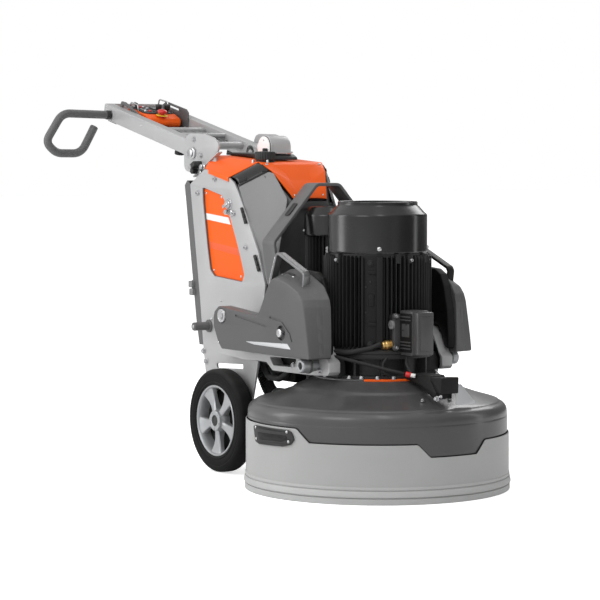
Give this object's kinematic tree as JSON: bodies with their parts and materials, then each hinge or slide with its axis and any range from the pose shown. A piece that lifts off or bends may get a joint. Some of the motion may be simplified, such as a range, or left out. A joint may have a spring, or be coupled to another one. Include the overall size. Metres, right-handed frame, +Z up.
{
  "type": "concrete grinder",
  "caption": "Walk-behind planetary concrete grinder: round grinding head with two upright motors, swing weights, side wheels, orange hood and a remote control on the handle",
  "frame": {"origin": "centre of the round grinding head, on the floor plane", "axes": "+X forward from the wheels towards the grinding head, +Y to the left of the machine, +Z up"},
  "size_m": [1.978, 0.84, 1.2373],
  "materials": {
    "silver_paint": "semi-gloss silver-grey enamel on sheet steel",
    "dark_plastic": "fine-grained dark grey moulding",
    "dark_paint": "satin dark grey powder coat",
    "dark_casting": "satin painted casting, slightly rough",
    "door_paint": "satin mid-grey powder coat",
    "orange_paint": "satin orange enamel",
    "orange_plastic": "orange moulded plastic",
    "motor_black": "satin black motor paint on ribbed aluminium",
    "black_plastic": "matt black plastic",
    "black_rubber": "matt black rubber",
    "tread_rubber": "solid rubber tyre, lightly dusted",
    "shroud_grey": "pale grey moulded plastic",
    "rim_grey": "cast aluminium with grey lacquer",
    "bright_steel": "zinc-plated steel",
    "machined_iron": "machined cast iron",
    "red_plastic": "red moulded plastic",
    "pale_metal": "plain aluminium casing"
  },
  "bodies": {
    "chassis": {"side_plate_right": "silver_paint", "side_plate_left": "silver_paint", "window_panels": "orange_paint", "cabinet_body": "dark_paint", "rear_cover": "dark_paint", "hood": "orange_paint", "hood_surround": "dark_paint", "guard_frame": "dark_paint", "axle": "bright_steel", "wheel_bearings": "bright_steel", "head_arms": "silver_paint", "pivot_pins": "bright_steel", "handle_brackets": "silver_paint", "inverters": "pale_metal", "inlet_housing": "silver_paint", "frame_fasteners": "bright_steel", "door_hinges": "black_plastic", "pivot_bolts": "bright_steel"},
    "cap": {"inlet_cap": "black_plastic"},
    "door_r": {"door_right": "door_paint"},
    "door_l": {"door_left": "door_paint"},
    "wheel_r": {"tyre_right": "tread_rubber", "rim_right": "rim_grey"},
    "wheel_l": {"tyre_left": "tread_rubber", "rim_left": "rim_grey"},
    "handle": {"handle_frame": "silver_paint", "control_dock": "dark_paint", "remote_housing": "orange_plastic"},
    "estop": {"estop_button": "red_plastic"},
    "lever_l": {"stick_left": "black_plastic"},
    "lever_r": {"stick_right": "black_plastic"},
    "toggle": {"mode_toggle": "bright_steel"},
    "grip": {"loop_grip": "black_rubber"},
    "swing_weight_r": {"weight_right": "dark_casting", "weight_handle_right": "bright_steel"},
    "swing_weight_l": {"weight_left": "dark_casting", "weight_handle_left": "bright_steel"},
    "pin_r": {"lock_pin_right": "bright_steel"},
    "pin_l": {"lock_pin_left": "bright_steel"},
    "head": {"head_cover": "dark_plastic", "head_housing": "dark_casting", "motor_adapter": "dark_paint", "neck_ring": "orange_paint", "motor_body": "motor_black", "fan_cover": "black_plastic", "terminal_box": "dark_plastic", "aux_motor": "motor_black", "aux_fan_cover": "black_plastic", "nose_bracket": "dark_paint", "dust_hose": "black_rubber", "head_fasteners": "bright_steel", "drive_belt": "black_rubber"},
    "floating_shroud": {"shroud": "shroud_grey", "shroud_lip": "shroud_grey"},
    "carrier": {"planet_plate": "machined_iron"},
    "disc_1": {"tool_disc_1": "machined_iron"},
    "disc_2": {"tool_disc_2": "machined_iron"},
    "disc_3": {"tool_disc_3": "machined_iron"},
    "main_spindle": {"main_rotor": "machined_iron"},
    "aux_spindle": {"aux_rotor": "machined_iron"}
  },
  "joints": [
    {"name": "cap_turn", "type": "hinge", "parent": "chassis", "child": "cap", "pos_m": [-0.532, -0.08, 1.03], "axis": [0, 0, 1], "range_deg": [0, 90]},
    {"name": "door_right_hinge", "type": "hinge", "parent": "chassis", "child": "door_r", "pos_m": [-0.54, -0.1906, 0.945], "axis": [0.463, 0, -0.8863], "range_deg": [0, 25]},
    {"name": "door_left_hinge", "type": "hinge", "parent": "chassis", "child": "door_l", "pos_m": [-0.54, 0.1906, 0.945], "axis": [-0.463, 0, 0.8863], "range_deg": [0, 25]},
    {"name": "wheel_right_roll", "type": "hinge", "parent": "chassis", "child": "wheel_r", "pos_m": [-0.561, -0.23, 0.1715], "axis": [0, 1, 0], "continuous": true},
    {"name": "wheel_left_roll", "type": "hinge", "parent": "chassis", "child": "wheel_l", "pos_m": [-0.561, 0.23, 0.1715], "axis": [0, 1, 0], "continuous": true},
    {"name": "handle_tilt", "type": "hinge", "parent": "chassis", "child": "handle", "pos_m": [-0.891, 0, 1.051], "axis": [0, 1, 0], "range_deg": [-10, 40]},
    {"name": "stop_press", "type": "slide", "parent": "handle", "child": "estop", "axis": [-0.219, 0, -0.9757], "range_m": [0, 0.004], "stiffness_N_per_m": 500},
    {"name": "lever_left_tilt", "type": "hinge", "parent": "handle", "child": "lever_l", "pos_m": [-1.38316, 0.037, 1.17786], "axis": [0, 1, 0], "range_deg": [-15, 15], "stiffness_Nm_per_rad": 0.3},
    {"name": "lever_right_tilt", "type": "hinge", "parent": "handle", "child": "lever_r", "pos_m": [-1.38316, 0.002, 1.17786], "axis": [0, 1, 0], "range_deg": [-15, 15], "stiffness_Nm_per_rad": 0.3},
    {"name": "toggle_tilt", "type": "hinge", "parent": "handle", "child": "toggle", "pos_m": [-1.41927, -0.04, 1.18596], "axis": [0, 1, 0], "range_deg": [-8, 8], "stiffness_Nm_per_rad": 0.1},
    {"name": "grip_swing", "type": "hinge", "parent": "handle", "child": "grip", "pos_m": [-1.505, -0.136, 1.187], "axis": [0, 1, 0], "range_deg": [-30, 30]},
    {"name": "weight_right_swing", "type": "hinge", "parent": "chassis", "child": "swing_weight_r", "pos_m": [-0.427, -0.28, 0.528], "axis": [0, -1, 0], "range_deg": [0, 150]},
    {"name": "weight_left_swing", "type": "hinge", "parent": "chassis", "child": "swing_weight_l", "pos_m": [-0.427, 0.28, 0.528], "axis": [0, -1, 0], "range_deg": [0, 150]},
    {"name": "pin_right_pull", "type": "slide", "parent": "swing_weight_r", "child": "pin_r", "axis": [0, -1, 0], "range_m": [0, 0.03]},
    {"name": "pin_left_pull", "type": "slide", "parent": "swing_weight_l", "child": "pin_l", "axis": [0, 1, 0], "range_m": [0, 0.03]},
    {"name": "head_tilt", "type": "hinge", "parent": "chassis", "child": "head", "pos_m": [0.012, 0, 0.397], "axis": [0, 1, 0], "range_deg": [-1.5, 1.5]},
    {"name": "shroud_float", "type": "slide", "parent": "head", "child": "floating_shroud", "axis": [0, 0, 1], "range_m": [0, 0.012]},
    {"name": "carrier_spin", "type": "hinge", "parent": "head", "child": "carrier", "pos_m": [0, 0, 0.2], "axis": [0, 0, 1], "continuous": true},
    {"name": "main_spin", "type": "hinge", "parent": "head", "child": "main_spindle", "pos_m": [0, 0, 0.6], "axis": [0, 0, 1], "continuous": true},
    {"name": "aux_spin", "type": "hinge", "parent": "head", "child": "aux_spindle", "pos_m": [-0.265, 0, 0.6], "axis": [0, 0, 1], "continuous": true},
    {"name": "disc_1_spin", "type": "hinge", "parent": "carrier", "child": "disc_1", "pos_m": [0.131, 0.2269, 0.1], "axis": [0, 0, 1], "continuous": true},
    {"name": "disc_2_spin", "type": "hinge", "parent": "carrier", "child": "disc_2", "pos_m": [-0.262, 0, 0.1], "axis": [0, 0, 1], "continuous": true},
    {"name": "disc_3_spin", "type": "hinge", "parent": "carrier", "child": "disc_3", "pos_m": [0.131, -0.2269, 0.1], "axis": [0, 0, 1], "continuous": true}
  ],
  "couplings": [
    {"joint": "aux_spin", "follows": "carrier_spin", "ratio": 2.4444},
    {"joint": "disc_1_spin", "follows": "main_spin", "ratio": -0.6},
    {"joint": "disc_2_spin", "follows": "main_spin", "ratio": -0.6},
    {"joint": "disc_3_spin", "follows": "main_spin", "ratio": -0.6}
  ]
}
